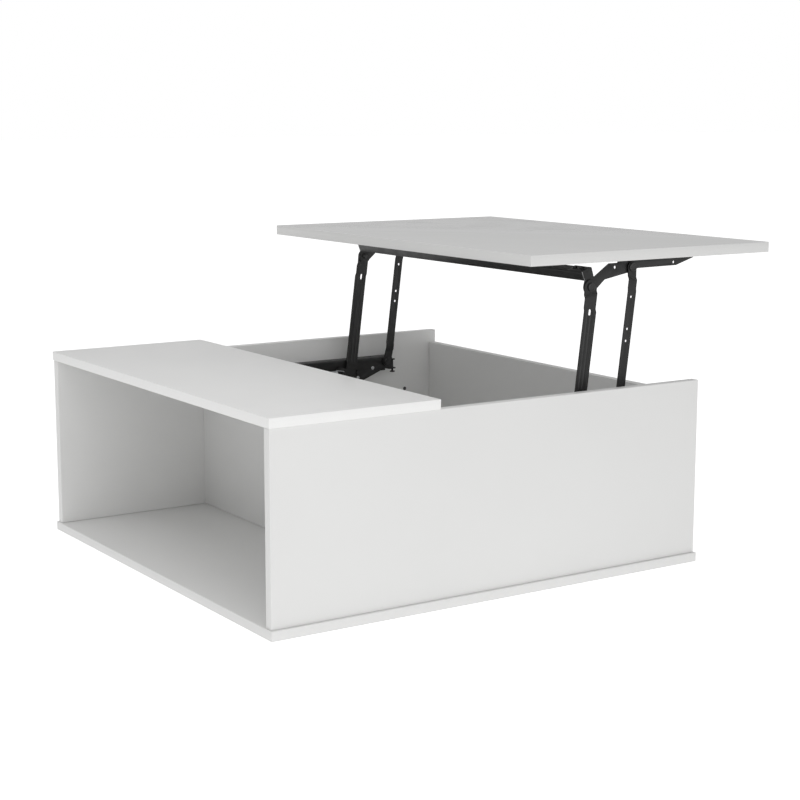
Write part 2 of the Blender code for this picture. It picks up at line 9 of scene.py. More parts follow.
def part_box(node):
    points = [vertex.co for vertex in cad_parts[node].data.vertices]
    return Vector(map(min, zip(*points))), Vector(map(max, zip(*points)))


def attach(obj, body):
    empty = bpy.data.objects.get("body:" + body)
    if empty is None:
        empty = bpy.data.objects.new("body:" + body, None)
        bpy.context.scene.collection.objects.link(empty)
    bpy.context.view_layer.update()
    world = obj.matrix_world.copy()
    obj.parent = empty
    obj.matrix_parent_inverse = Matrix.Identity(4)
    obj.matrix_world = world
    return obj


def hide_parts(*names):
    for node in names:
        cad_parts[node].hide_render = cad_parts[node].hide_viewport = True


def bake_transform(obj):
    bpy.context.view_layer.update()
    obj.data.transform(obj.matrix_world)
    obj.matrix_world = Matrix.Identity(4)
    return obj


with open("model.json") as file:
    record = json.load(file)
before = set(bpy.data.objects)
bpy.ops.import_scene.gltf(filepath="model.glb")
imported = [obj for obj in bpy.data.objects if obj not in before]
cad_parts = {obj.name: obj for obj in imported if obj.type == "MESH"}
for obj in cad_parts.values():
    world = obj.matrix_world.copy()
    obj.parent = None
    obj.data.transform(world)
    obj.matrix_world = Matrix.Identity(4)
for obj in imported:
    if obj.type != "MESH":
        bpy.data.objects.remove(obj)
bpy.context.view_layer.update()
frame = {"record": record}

# Lift top coffee table: a white board carcass with an open shelf and a storage well, and a
# gloss lift top that a pair of black pressed steel lifting arms carries at each side.
# The near side is -Y. Depths are measured inwards from the base board's long edge.

# --- The view: a long lens a little above the raised top, at the open shelf's near corner ---

camera_data = bpy.data.cameras.new("camera")
camera_data.sensor_width = 36.0
camera_data.lens = 77.47
camera = bpy.data.objects.new("camera", camera_data)
camera.matrix_world = (
    Matrix.Translation((-1.9055, -3.0310, 0.9283))
    @ Matrix.Rotation(math.radians(-33.343), 4, "Z")
    @ Matrix.Rotation(math.radians(90 - 9.733), 4, "X")
    @ Matrix.Rotation(math.radians(0.078), 4, "Z")
)
bpy.context.scene.collection.objects.link(camera)
bpy.context.scene.camera = camera
bpy.context.scene.view_settings.view_transform = "Standard"


# --- Studio: a pale painted floor under broad soft light ---
# The floor is a seamless matt roll. One large soft box stands low beyond the near side, two
# weaker ones fill from the open shelf's side and from above, and a pale room gives the rest.

def linear(code):
    """An sRGB hex colour as linear red, green and blue, and full opacity."""
    values = [int(code[i:i + 2], 16) / 255 for i in (1, 3, 5)]
    return (*(v / 12.92 if v <= 0.04045 else ((v + 0.055) / 1.055) ** 2.4 for v in values), 1.0)


def add_node(tree, kind, sockets=None, links=None, **settings):
    """One node with its settings, its sockets' own values and its incoming links."""
    node = tree.nodes.new(kind)
    for name, value in settings.items():
        setattr(node, name, value)
    for name, value in (sockets or {}).items():
        node.inputs[name].default_value = value
    for name, source in (links or {}).items():
        tree.links.new(source, node.inputs[name])
    return node


def new_finish(name, colour, roughness, **sockets):
    """A material's tree, its shader and the piece's own coordinates in metres."""
    made = bpy.data.materials.new(name)
    made.use_nodes = True
    made.diffuse_color = linear(colour)
    tree = made.node_tree
    shader = tree.nodes["Principled BSDF"]
    shader.inputs["Base Color"].default_value = linear(colour)
    shader.inputs["Roughness"].default_value = roughness
    for socket, value in sockets.items():
        shader.inputs[socket.replace("_", " ")].default_value = value
    place = add_node(tree, "ShaderNodeTexCoord").outputs["Object"]
    return made, tree, shader, place


def pattern(tree, shader, source, tones=None, roughness=None, relief=None):
    """Lets one texture drive the colour between two tones, the roughness between two values,
    and the surface's relief to a depth in metres with a strength."""
    value = source.outputs["Fac"]
    if tones:
        mix = add_node(
            tree, "ShaderNodeMix", {"A": linear(tones[0]), "B": linear(tones[1])},
            {"Factor": value}, data_type="RGBA",
        )
        tree.links.new(mix.outputs["Result"], shader.inputs["Base Color"])
    if roughness:
        span = {"From Min": 0.3, "From Max": 0.7, "To Min": roughness[0], "To Max": roughness[1]}
        spread = add_node(tree, "ShaderNodeMapRange", span, {"Value": value})
        tree.links.new(spread.outputs["Result"], shader.inputs["Roughness"])
    if relief:
        raised = {"Distance": relief[0], "Strength": relief[1]}
        bump = add_node(tree, "ShaderNodeBump", raised, {"Height": value})
        tree.links.new(bump.outputs["Normal"], shader.inputs["Normal"])


# Matt paint on a smooth roll: no relief, and a tone that drifts over half a metre. It glows
# a little, as a lit sweep does, so that it meets the white of the room.
floor_paint, tree, shader, place = new_finish("matt_white_floor_paint", "#F7F7F7", 0.75)
drift = add_node(tree, "ShaderNodeTexNoise", {"Scale": 1 / 0.5, "Detail": 2.0}, {"Vector": place})
pattern(tree, shader, drift, tones=("#F6F6F6", "#F8F8F8"))
shader.inputs["Emission Color"].default_value = linear("#FFFFFF")
glow = add_node(
    tree, "ShaderNodeMapRange", {"To Min": 0.30, "To Max": 0.62},
    {"Value": add_node(tree, "ShaderNodeLightPath").outputs["Is Camera Ray"]},
)
tree.links.new(glow.outputs["Result"], shader.inputs["Emission Strength"])

FLOOR_REACH = 40.0
FLOOR_GAP = 0.0005  # keeps the floor clear of the base board

floor_mesh = bmesh.new()
bmesh.ops.create_grid(floor_mesh, x_segments=1, y_segments=1, size=FLOOR_REACH)
bmesh.ops.translate(floor_mesh, vec=(0, 0, -FLOOR_GAP), verts=floor_mesh.verts)
floor_data = bpy.data.meshes.new("floor")
floor_mesh.to_mesh(floor_data)
floor_mesh.free()
floor_data.materials.append(floor_paint)
floor = bpy.data.objects.new("floor", floor_data)
bpy.context.scene.collection.objects.link(floor)

room = bpy.data.worlds.new("pale_room")
bpy.context.scene.world = room
room.use_nodes = True
background = room.node_tree.nodes["Background"]
background.inputs["Color"].default_value = linear("#FFFFFF")
# The room is white to look at, dimmer where it lights the table, and dimmest in reflections.
ray = add_node(room.node_tree, "ShaderNodeLightPath")
seen = add_node(
    room.node_tree, "ShaderNodeMapRange", {"To Min": 0.55, "To Max": 1.0},
    {"Value": ray.outputs["Is Camera Ray"]},
)
reflected = add_node(
    room.node_tree, "ShaderNodeMapRange", {"To Max": 0.54},
    {"Value": ray.outputs["Is Glossy Ray"], "To Min": seen.outputs["Result"]},
)
room.node_tree.links.new(reflected.outputs["Result"], background.inputs["Strength"])

for name, place_at, aim, size, power in (
    ("front_soft_box", (-0.9, -4.2, 1.5), (0.1, 0.0, 0.3), 3.0, 38.0),
    ("side_soft_box", (-4.0, -0.6, 1.4), (0.0, 0.0, 0.3), 2.4, 1.0),
    ("top_soft_box", (-1.2, 0.0, 3.4), (-0.3, 0.0, 0.4), 2.0, 19.0),
):
    light_data = bpy.data.lights.new(name, "AREA")
    light_data.size = size
    light_data.energy = power
    light = bpy.data.objects.new(name, light_data)
    light.location = place_at
    light.rotation_euler = (Vector(aim) - Vector(place_at)).to_track_quat("-Z", "Y").to_euler()
    bpy.context.scene.collection.objects.link(light)


# --- Carcass boards ---
# Particle board faced with white melamine, cut to size, with a 1 mm ABS band pressed on
# its edges and rounded over. Dowels and cam fittings hold the boards together from inside.

body_of = {
    node: body for body, nodes in frame["record"]["behaviour"]["bodies"].items() for node in nodes
}


SHARP = math.radians(30)  # faces that meet at more than this are not shaded as one


def finish_piece(name, shape, materials, node, mirror=False):
    """Makes the object from its mesh in place. It rides on its node's body and stands for it."""
    if mirror:
        bmesh.ops.scale(shape, vec=(1, -1, 1), verts=shape.verts)
    bmesh.ops.recalc_face_normals(shape, faces=shape.faces)
    mesh = bpy.data.meshes.new(name)
    shape.to_mesh(mesh)
    shape.free()
    for surface in materials:
        mesh.materials.append(surface)
    mesh.shade_smooth()
    mesh.set_sharp_from_angle(angle=SHARP)
    piece = bpy.data.objects.new(name, mesh)
    bpy.context.scene.collection.objects.link(piece)
    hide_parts(node)
    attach(piece, body_of[node])


# Melamine film pressed on a fine pearl plate: matt, with a grain of 0.3 mm, drawn at 0.9 mm
# so that it shows.
melamine, tree, shader, place = new_finish("white_melamine_film", "#E4E4E3", 0.42, IOR=1.55)
grain = add_node(
    tree, "ShaderNodeTexNoise", {"Scale": 1 / 0.0009, "Detail": 2.0}, {"Vector": place},
)
drift = add_node(tree, "ShaderNodeTexNoise", {"Scale": 1 / 0.25, "Detail": 3.0}, {"Vector": place})
pattern(tree, shader, drift, tones=("#E2E2E1", "#E6E6E5"), roughness=(0.36, 0.46))
pattern(tree, shader, grain, relief=(0.00004, 0.35))

# Extruded ABS edge band: the same white, a little smoother, with faint lines along the strip
# from the trimming cutter, 0.4 mm apart.
edge_band, tree, shader, place = new_finish("white_abs_edge_band", "#E6E6E5", 0.36, IOR=1.54)
lines = add_node(
    tree, "ShaderNodeTexNoise", {"Scale": 1 / 0.0004, "Detail": 1.0},
    {"Vector": add_node(
        tree, "ShaderNodeMapping", {"Scale": (0.02, 0.02, 1.0)}, {"Vector": place},
    ).outputs["Vector"]},
)
pattern(tree, shader, lines, roughness=(0.32, 0.42), relief=(0.00002, 0.3))

EDGE_ROUND = 0.0010  # the rounding of a board's edges


def board_shape(node):
    """A board in its place, with its edges rounded, and faces in slot 0 and bands in slot 1."""
    low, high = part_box(node)
    size = high - low
    thin = min(range(3), key=lambda axis: size[axis])
    shape = bmesh.new()
    bmesh.ops.create_cube(shape, size=1.0)
    bmesh.ops.scale(shape, vec=size, verts=shape.verts)
    bmesh.ops.translate(shape, vec=(low + high) / 2, verts=shape.verts)
    for face in shape.faces:
        face.material_index = 0 if abs(face.normal[thin]) > 0.5 else 1
    bmesh.ops.bevel(
        shape, geom=shape.edges, offset=EDGE_ROUND, segments=3, profile=0.5, affect="EDGES",
        material=1,
    )
    return shape


BOARDS = ("base_board", "side_panel_near", "side_panel_far", "end_panel", "divider_panel")
for name in BOARDS:
    finish_piece(
        "banded_" + name, board_shape(name), (melamine, edge_band), name,
    )


# --- Lacquered tops ---
# MDF panels lacquered white on every side: the fixed top lies on the side panels and the
# divider, and the polished lift top is carried by its channels. The fixed top's white is
# painted lighter and the lift top's greyer: painted light and painted shade.

# Polished polyurethane lacquer: a mirror coat with a slight orange peel about 6 mm across,
# and faint wiping marks that change its gloss. Its white is painted greyer, as painted shade
# for the dim reflection on the raised top.
lacquer, tree, shader, place = new_finish("high_gloss_lacquer_painted_shade", "#DADAD9", 0.06, IOR=1.46)
peel = add_node(tree, "ShaderNodeTexNoise", {"Scale": 1 / 0.006, "Detail": 1.0}, {"Vector": place})
wipe = add_node(
    tree, "ShaderNodeTexNoise", {"Scale": 1 / 0.09, "Detail": 4.0, "Distortion": 0.6},
    {"Vector": place},
)
pattern(tree, shader, wipe, tones=("#D8D8D7", "#DCDCDB"), roughness=(0.035, 0.075))
pattern(tree, shader, peel, relief=(0.00002, 0.12))

# The fixed top's coat is rubbed down to satin, without the mirror; its white is painted
# lighter than the lift top's, as painted light.
satin, tree, shader, place = new_finish("satin_lacquer_painted_light", "#F2F2F1", 0.38, IOR=1.52)
wipe = add_node(
    tree, "ShaderNodeTexNoise", {"Scale": 1 / 0.09, "Detail": 4.0, "Distortion": 0.6},
    {"Vector": place},
)
pattern(tree, shader, wipe, tones=("#F0F0EF", "#F4F4F3"), roughness=(0.34, 0.42))

# The fixed top takes the lighter satin and the lift top the greyer gloss: painted light and painted
# shade.
for name, coat in (("fixed_top", satin), ("lift_top", lacquer)):
    finish_piece(
        "lacquered_" + name, board_shape(name), (coat, coat), name,
    )


# --- Lifting arms ---
# Each arm is blanked from 2.5 mm steel strip and pressed: a joggle at each end brings its
# tabs beside the brackets, its edges are turned out, and two beads stiffen the front arm.
# The front arm has an ear with a stud for the spring. All of it is powder coated black.

# Epoxy powder coat, baked: semi-matt, with an orange peel of about 1 mm that catches light.
powder_coat, tree, shader, place = new_finish("black_powder_coat", "#1B1B1B", 0.42, IOR=1.5)
peel = add_node(tree, "ShaderNodeTexNoise", {"Scale": 1 / 0.0011, "Detail": 2.0}, {"Vector": place})
drift = add_node(tree, "ShaderNodeTexNoise", {"Scale": 1 / 0.03, "Detail": 4.0}, {"Vector": place})
pattern(tree, shader, drift, tones=("#171717", "#202020"), roughness=(0.36, 0.48))
pattern(tree, shader, peel, relief=(0.00012, 0.5))

STEEL_SHEET = 0.0025
EDGE_BREAK = 0.0003  # the rounded arris of a blanked edge


def centre_of(node):
    """The middle of a CAD node's box."""
    low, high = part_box(node)
    return (low + high) / 2


front_lower = centre_of("front_lower_pin_near")
rear_lower = centre_of("rear_lower_pin_near")
arm_reach = centre_of("front_upper_pin_near") - front_lower
arm_length = math.hypot(arm_reach.x, arm_reach.z)
arm_lean = math.atan2(arm_reach.x, arm_reach.z)
SIDES = ("near", "far")


def near_y(depth):
    """The near side's Y at a depth inwards from the base board's long edge."""
    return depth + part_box("base_board")[0].y


def ring(centre, radius, start=0.0, end=360.0, steps=32):
    """Points of an arc, with its angles in degrees; a full turn leaves out the repeated point."""
    count = steps if end - start >= 360 else steps + 1
    return [
        (centre[0] + radius * math.cos(math.radians(start + (end - start) * i / steps)),
         centre[1] + radius * math.sin(math.radians(start + (end - start) * i / steps)))
        for i in range(count)
    ]


def blank(loops):
    """A flat blank in X and Z at Y = 0: an outline, and then its holes."""
    shape = bmesh.new()
    edges = []
    for points in loops:
        corners = [shape.verts.new((x, 0.0, z)) for x, z in points]
        edges += [shape.edges.new(pair) for pair in zip(corners, corners[1:] + corners[:1])]
    bmesh.ops.triangle_fill(shape, use_beauty=True, edges=edges)
    return shape


def cut_line(shape, point, normal):
    """Adds edges where a plane crosses the blank, so that it can be bent there."""
    geometry = shape.verts[:] + shape.edges[:] + shape.faces[:]
    bmesh.ops.bisect_plane(shape, geom=geometry, dist=1e-5, plane_co=point, plane_no=normal)


def thicken(shape, thickness=STEEL_SHEET, break_edges=EDGE_BREAK):
    """Gives a sheet its thickness along +Y, and breaks its blanked edges."""
    bmesh.ops.remove_doubles(shape, verts=shape.verts, dist=0.00012)
    extruded = bmesh.ops.extrude_face_region(shape, geom=shape.faces[:])
    moved = [item for item in extruded["geom"] if isinstance(item, bmesh.types.BMVert)]
    bmesh.ops.translate(shape, vec=(0, thickness, 0), verts=moved)
    bmesh.ops.recalc_face_normals(shape, faces=shape.faces)
    round_over(shape, break_edges)


def round_over(shape, width, angle=50):
    """Rounds every edge sharper than an angle in degrees."""
    sharp = [
        edge for edge in shape.edges
        if len(edge.link_faces) == 2 and edge.calc_face_angle() > math.radians(angle)
    ]
    bmesh.ops.bevel(
        shape, geom=sharp, offset=width, segments=2, profile=0.5, affect="EDGES",
        material=-1, clamp_overlap=True,
    )


def smooth(value, low, high):
    """0 below low, 1 above high, and an even curve between."""
    t = min(max((value - low) / (high - low), 0.0), 1.0)
    return t * t * (3 - 2 * t)


TAB_LOWER = 0.0610  # depths of an arm's outer faces
BLADE = 0.0630
TAB_UPPER = 0.0665
RAMP = 0.0075  # length of a joggle's slope
LOWER_FLAT = 0.0240  # from the lower pivot to its joggle
SHOULDER = 0.0220  # from a pivot to where the arm has its full width
TURN_START = 0.0400  # from the lower pivot to where the turned edges and beads begin
TURN_END = 0.0420  # and from the upper one
TURN_RISE = 0.0060  # length over which they rise
TURN_OUT = 0.0026  # width of an arm's turned edge
PIN_HOLE = 0.00415


def arm_blank(half, end_radius, offset, holes, ear=()):
    """An arm's blank, with +Z along the arm from its lower pivot and +X across it.
    Each hole has its place across and along, its radius and half of its extra length."""
    outline = ring((0, arm_length), end_radius, 0, 180, 16)
    outline += [(offset - half, arm_length - SHOULDER), (offset - half, SHOULDER), *ear]
    outline += ring((0, 0), end_radius, 235 if ear else 180, 360, 16)
    outline += [(offset + half, SHOULDER), (offset + half, arm_length - SHOULDER)]
    loops = [outline, ring((0, 0), PIN_HOLE), ring((0, arm_length), PIN_HOLE)]
    for across, along, radius, stretch in holes:
        top = ring((across, along + stretch), radius, 0, 180, 12)
        bottom = ring((across, along - stretch), radius, 180, 360, 12)
        loops.append(top + bottom if stretch else top[:-1] + bottom[:-1])
    return blank(loops)


def press_arm(shape, half, offset, turn_depth, beads, upper_flat, crease):
    """Bends an arm's blank: its joggles, its turned edges and its beads. Each bead has its
    centre, half width and height, and the upper joggle is skewed by the crease's angle."""
    upper_bend = arm_length - upper_flat
    skewed = Vector((math.sin(crease), 0, math.cos(crease)))
    for quarter in range(5):
        cut_line(shape, (0, 0, LOWER_FLAT + RAMP * quarter / 4), (0, 0, 1))
        cut_line(shape, (0, 0, upper_bend - RAMP * quarter / 4), skewed)
    start, end = TURN_START, arm_length - TURN_END
    for half_rise in range(3):
        cut_line(shape, (0, 0, start + TURN_RISE * half_rise / 2), (0, 0, 1))
        cut_line(shape, (0, 0, end - TURN_RISE * half_rise / 2), (0, 0, 1))
    for share in (1.0, 0.7, 0.45, 0.25, 0.1):
        across = half - TURN_OUT * share
        cut_line(shape, (offset + across, 0, 0), (1, 0, 0))
        cut_line(shape, (offset - across, 0, 0), (1, 0, 0))
    for centre, width, _ in beads:
        for share in (-1.0, -0.65, -0.35, 0.35, 0.65, 1.0):
            cut_line(shape, (offset + centre + width * share, 0, 0), (1, 0, 0))
    for vert in shape.verts:
        across, along = vert.co.x - offset, vert.co.z
        lower = smooth(along, LOWER_FLAT, LOWER_FLAT + RAMP)
        skewed_along = along + vert.co.x * math.tan(crease)
        upper = smooth(skewed_along, upper_bend - RAMP, upper_bend)
        depth = TAB_LOWER + (BLADE - TAB_LOWER) * lower + (TAB_UPPER - BLADE) * upper
        window = smooth(along, start, start + TURN_RISE) * (1 - smooth(along, end - TURN_RISE, end))
        edge = max(abs(across) - (half - TURN_OUT), 0.0) / TURN_OUT
        depth -= turn_depth * window * (1 - math.sqrt(max(1 - edge * edge, 0.0)))
        for centre, width, height in beads:
            inside = 1 - smooth(abs(across - centre), width * 0.35, width)
            depth -= height * inside * window
        vert.co.y = depth


def set_up_arm(shape, lower):
    """Leans the arm and stands it on its lower pivot, on the near side."""
    bmesh.ops.rotate(shape, matrix=Matrix.Rotation(arm_lean, 3, "Y"), verts=shape.verts)
    bmesh.ops.translate(shape, vec=(lower.x, near_y(0), lower.z), verts=shape.verts)


def turned(profile, segments=48):
    """A turned piece about +Z from (radius, height) points, the first and last on the axis."""
    shape = bmesh.new()
    corners = [shape.verts.new((radius, 0, height)) for radius, height in profile]
    edges = [shape.edges.new(pair) for pair in zip(corners, corners[1:])]
    bmesh.ops.spin(
        shape, geom=corners + edges, axis=(0, 0, 1), cent=(0, 0, 0), dvec=(0, 0, 0),
        angle=math.tau, steps=segments, use_merge=True,
    )
    bmesh.ops.remove_doubles(shape, verts=shape.verts, dist=1e-6)
    return shape


def lay_across(shape, x, z, depth, outward):
    """Lays a piece that stands on Z = 0 along Y, outward or inward, from a depth."""
    quarter = math.pi / 2 if outward else -math.pi / 2
    bmesh.ops.rotate(shape, matrix=Matrix.Rotation(quarter, 3, "X"), verts=shape.verts)
    bmesh.ops.translate(shape, vec=(x, near_y(depth), z), verts=shape.verts)


def join(shape, other):
    """Adds another shape to this one, and frees it."""
    carrier = bpy.data.meshes.new("carrier")
    other.to_mesh(carrier)
    other.free()
    shape.from_mesh(carrier)
    bpy.data.meshes.remove(carrier)


spring_lug = front_lower + Vector((-0.0300, 0, 0.0165))
STUD_FOOT = 0.0620  # depth, inside the ear's sheet
STUD = [
    (0, 0), (0.0030, 0), (0.0030, 0.0215), (0.0046, 0.0221), (0.0050, 0.0227), (0.0050, 0.0236),
    (0.0044, 0.0243), (0, 0.0245),
]
EAR = (
    (-0.0150, 0.0235), (-0.0345, 0.0260), (-0.0400, 0.0200), (-0.0395, 0.0125), (-0.0130, -0.0080),
)
FRONT_HALF = 0.0145  # half of the front arm's width
FRONT_OFFSET = 0.0005  # from the pivots' line to the middle of the blade
FRONT_SLOT = (0.0010, 0.2445, 0.0030, 0.0035)
BEADS = ((-0.0048, 0.0026, 0.0011), (0.0042, 0.0026, 0.0011))
REAR_HALF = 0.0102
REAR_OFFSET = 0.0030
REAR_HOLES = [(REAR_OFFSET, along, 0.0028, 0.0) for along in (0.2345, 0.1700, 0.1458)]

for side in SIDES:
    shape = arm_blank(FRONT_HALF, 0.0150, FRONT_OFFSET, [FRONT_SLOT], EAR)
    press_arm(
        shape, FRONT_HALF, FRONT_OFFSET, turn_depth=0.0030, beads=BEADS, upper_flat=0.0105,
        crease=math.radians(-22),
    )
    thicken(shape)
    set_up_arm(shape, front_lower)
    stud = turned(STUD, segments=32)
    lay_across(stud, spring_lug.x, spring_lug.z, STUD_FOOT, outward=False)
    join(shape, stud)
    finish_piece(
        f"{side}_front_arm", shape, (powder_coat,), f"front_arm_{side}",
        mirror=side == "far",
    )

    shape = arm_blank(REAR_HALF, 0.0108, REAR_OFFSET, REAR_HOLES)
    press_arm(
        shape, REAR_HALF, REAR_OFFSET, turn_depth=0.0014, beads=(), upper_flat=0.0185, crease=0.0,
    )
    thicken(shape)
    set_up_arm(shape, rear_lower)
    finish_piece(
        f"{side}_rear_arm", shape, (powder_coat,), f"rear_arm_{side}",
        mirror=side == "far",
    )


# --- Base brackets ---
# One long pressing at each side: the web that carries the pivots, a level shelf, and a
# flange screwed to the side panel. Two bends make it an upside-down U, and a small ear at
# its end holds the adjusting bolt. The same black powder coat.

WEB_OUTER = 0.0560  # depths of the web's outer and inner faces
WEB_INNER = 0.0585
FLANGE_OUTER = 0.0253  # depth of the flange's face on the side panel
FLANGE_FOOT = 0.0280  # from the web's lowest point up to the flange's lower edge
EAR_OUTER = 0.0415  # depth of the small ear's outer edge
EAR_INNER = 0.0572
STUD_HOLE = 0.00315


def fold(shape, edges, *moves):
    """Extends a sheet from its edges by one strip for each move."""
    for move in moves:
        strip = bmesh.ops.extrude_edge_only(shape, edges=edges)["geom"]
        verts = [item for item in strip if isinstance(item, bmesh.types.BMVert)]
        bmesh.ops.translate(shape, vec=move, verts=verts)
        edges = [
            item for item in strip
            if isinstance(item, bmesh.types.BMEdge) and all(vert in verts for vert in item.verts)
        ]


def rim(shape, axis, value):
    """The edges that lie at one value of an axis."""
    return [
        edge for edge in shape.edges
        if all(abs(vert.co[axis] - value) < 1e-6 for vert in edge.verts)
    ]


def bend_and_thicken(shape, radius, thickness, break_edges=EDGE_BREAK):
    """Rounds a sheet's folds and gives it its thickness on the inside of them."""
    bmesh.ops.recalc_face_normals(shape, faces=shape.faces)
    middle = sum((vert.co for vert in shape.verts), Vector()) / len(shape.verts)
    outward = sum(
        (face.calc_center_median() - middle).dot(face.normal) * face.calc_area()
        for face in shape.faces
    )
    if outward < 0:
        bmesh.ops.reverse_faces(shape, faces=shape.faces)
    folds = [
        edge for edge in shape.edges
        if len(edge.link_faces) == 2 and edge.calc_face_angle() > math.radians(60)
    ]
    bmesh.ops.bevel(
        shape, geom=folds, offset=radius, segments=5, profile=0.5, affect="EDGES", material=-1,
    )
    bmesh.ops.solidify(shape, geom=shape.faces[:], thickness=thickness)
    bmesh.ops.recalc_face_normals(shape, faces=shape.faces)
    round_over(shape, break_edges, angle=70)


def level(shape, height):
    """Turns a blank from X and Z to lie level, with its Z as Y and its thickness upward."""
    bmesh.ops.scale(shape, vec=(1, 1, -1), verts=shape.verts)
    bmesh.ops.rotate(shape, matrix=Matrix.Rotation(math.pi / 2, 3, "X"), verts=shape.verts)
    bmesh.ops.translate(shape, vec=(0, 0, height), verts=shape.verts)


low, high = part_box("base_bracket_near")
web_right = high.x - 0.0135
stop_centre = centre_of("stop_buffer_near")
spring_anchor = centre_of("spring_anchor_near")
bolt_centre = centre_of("adjusting_bolt_near")
for side in SIDES:
    outline = [
        (low.x, high.z), (low.x, low.z + 0.006), (low.x + 0.025, low.z), (0.2300, low.z),
        (0.3259, 0.3003), (web_right - 0.0075, 0.2970), (web_right, 0.2970), (web_right, high.z),
    ]
    rivets = [centre_of(f"bracket_rivet_near_{number}") for number in (1, 2)]
    studs = [stop_centre, spring_anchor, *rivets]
    holes = [ring((point.x, point.z), STUD_HOLE, steps=24) for point in studs]
    holes += [ring((point.x, point.z), PIN_HOLE) for point in (front_lower, rear_lower)]
    shape = blank([outline] + holes)
    bmesh.ops.translate(shape, vec=(0, near_y(WEB_INNER), 0), verts=shape.verts)
    flange_drop = low.z + FLANGE_FOOT - high.z
    fold(shape, rim(shape, 2, high.z), (0, FLANGE_OUTER - WEB_INNER, 0), (0, 0, flange_drop))
    bend_and_thicken(shape, 0.0036, STEEL_SHEET)
    small_ear = blank([
        [(web_right - 0.0075, near_y(EAR_INNER)), (web_right - 0.0075, near_y(EAR_OUTER + 0.0010)),
         (web_right - 0.0055, near_y(EAR_OUTER)), (web_right + 0.0115, near_y(EAR_OUTER)),
         (high.x, near_y(EAR_OUTER + 0.0015)), (high.x, near_y(EAR_INNER - 0.0037)),
         (high.x - 0.0030, near_y(EAR_INNER))],
        ring((bolt_centre.x, bolt_centre.y), 0.0028, steps=24),
    ])
    thicken(small_ear, 0.0024)
    level(small_ear, 0.2971)
    join(shape, small_ear)
    finish_piece(
        f"{side}_base_bracket", shape, (powder_coat,), f"base_bracket_{side}",
        mirror=side == "far",
    )


# --- Upper brackets ---
# Blanked from the same 2.5 mm sheet: a neck round the front pivot, an arm slanting up to a
# long tail that slides under the top, and a tab at the neck for the cross bar. The neck's
# leading edge is painted in bare steel colour, a painted highlight.

def slab(low_corner, high_corner, rounding, segments=2):
    """A block between two corners with all its edges rounded."""
    low_corner, high_corner = Vector(low_corner), Vector(high_corner)
    shape = bmesh.new()
    bmesh.ops.create_cube(shape, size=1.0)
    bmesh.ops.scale(shape, vec=high_corner - low_corner, verts=shape.verts)
    bmesh.ops.translate(shape, vec=(low_corner + high_corner) / 2, verts=shape.verts)
    bmesh.ops.bevel(
        shape, geom=shape.edges, offset=rounding, segments=segments, profile=0.5, affect="EDGES",
        material=-1,
    )
    return shape


# Bare mild steel colour, used as a painted highlight on lit edges: grey metal with fine
# parallel cutting marks about 0.5 mm apart.
bare_steel_highlight, tree, shader, place = new_finish("bare_steel_painted_highlight", "#B9BABB", 0.38, Metallic=1.0)
marks = add_node(
    tree, "ShaderNodeTexNoise", {"Scale": 1 / 0.0005, "Detail": 1.0},
    {"Vector": add_node(
        tree, "ShaderNodeMapping", {"Scale": (0.05, 1.0, 1.0)}, {"Vector": place},
    ).outputs["Vector"]},
)
pattern(
    tree, shader, marks, tones=("#A9AAAB", "#C6C7C8"), roughness=(0.30, 0.46),
    relief=(0.00003, 0.4),
)

PLATE = 0.0705  # depth of the bracket's outer face
TAB_END = 0.1180  # depth of the tab's end
TILT = math.radians(21)  # the cross bar and the tabs on it rise towards +X
NECK_CORNER = Vector((0.2415, 0, 0.6071))
ANGLE_SHEET = 0.0020  # thickness of the tab and of the cross bar
NECK_EDGE = 0.0204  # length of the neck's leading edge, which carries the painted highlight


def on_bar(along, above):
    """A point in X and Z from the neck's top corner, along the tilted tab and square to it."""
    return (
        NECK_CORNER.x + along * math.cos(TILT) - above * math.sin(TILT),
        NECK_CORNER.z + along * math.sin(TILT) + above * math.cos(TILT),
    )


def from_bar(point):
    """The reverse of on_bar: how far a point is along the tab and above it."""
    across, up = point.x - NECK_CORNER.x, point.z - NECK_CORNER.z
    return (
        across * math.cos(TILT) + up * math.sin(TILT),
        up * math.cos(TILT) - across * math.sin(TILT),
    )


def tilt(shape, place_at):
    """Tilts a piece to stand square on the tab, with its foot at a place."""
    bmesh.ops.rotate(shape, matrix=Matrix.Rotation(-TILT, 3, "Y"), verts=shape.verts)
    bmesh.ops.translate(shape, vec=place_at, verts=shape.verts)


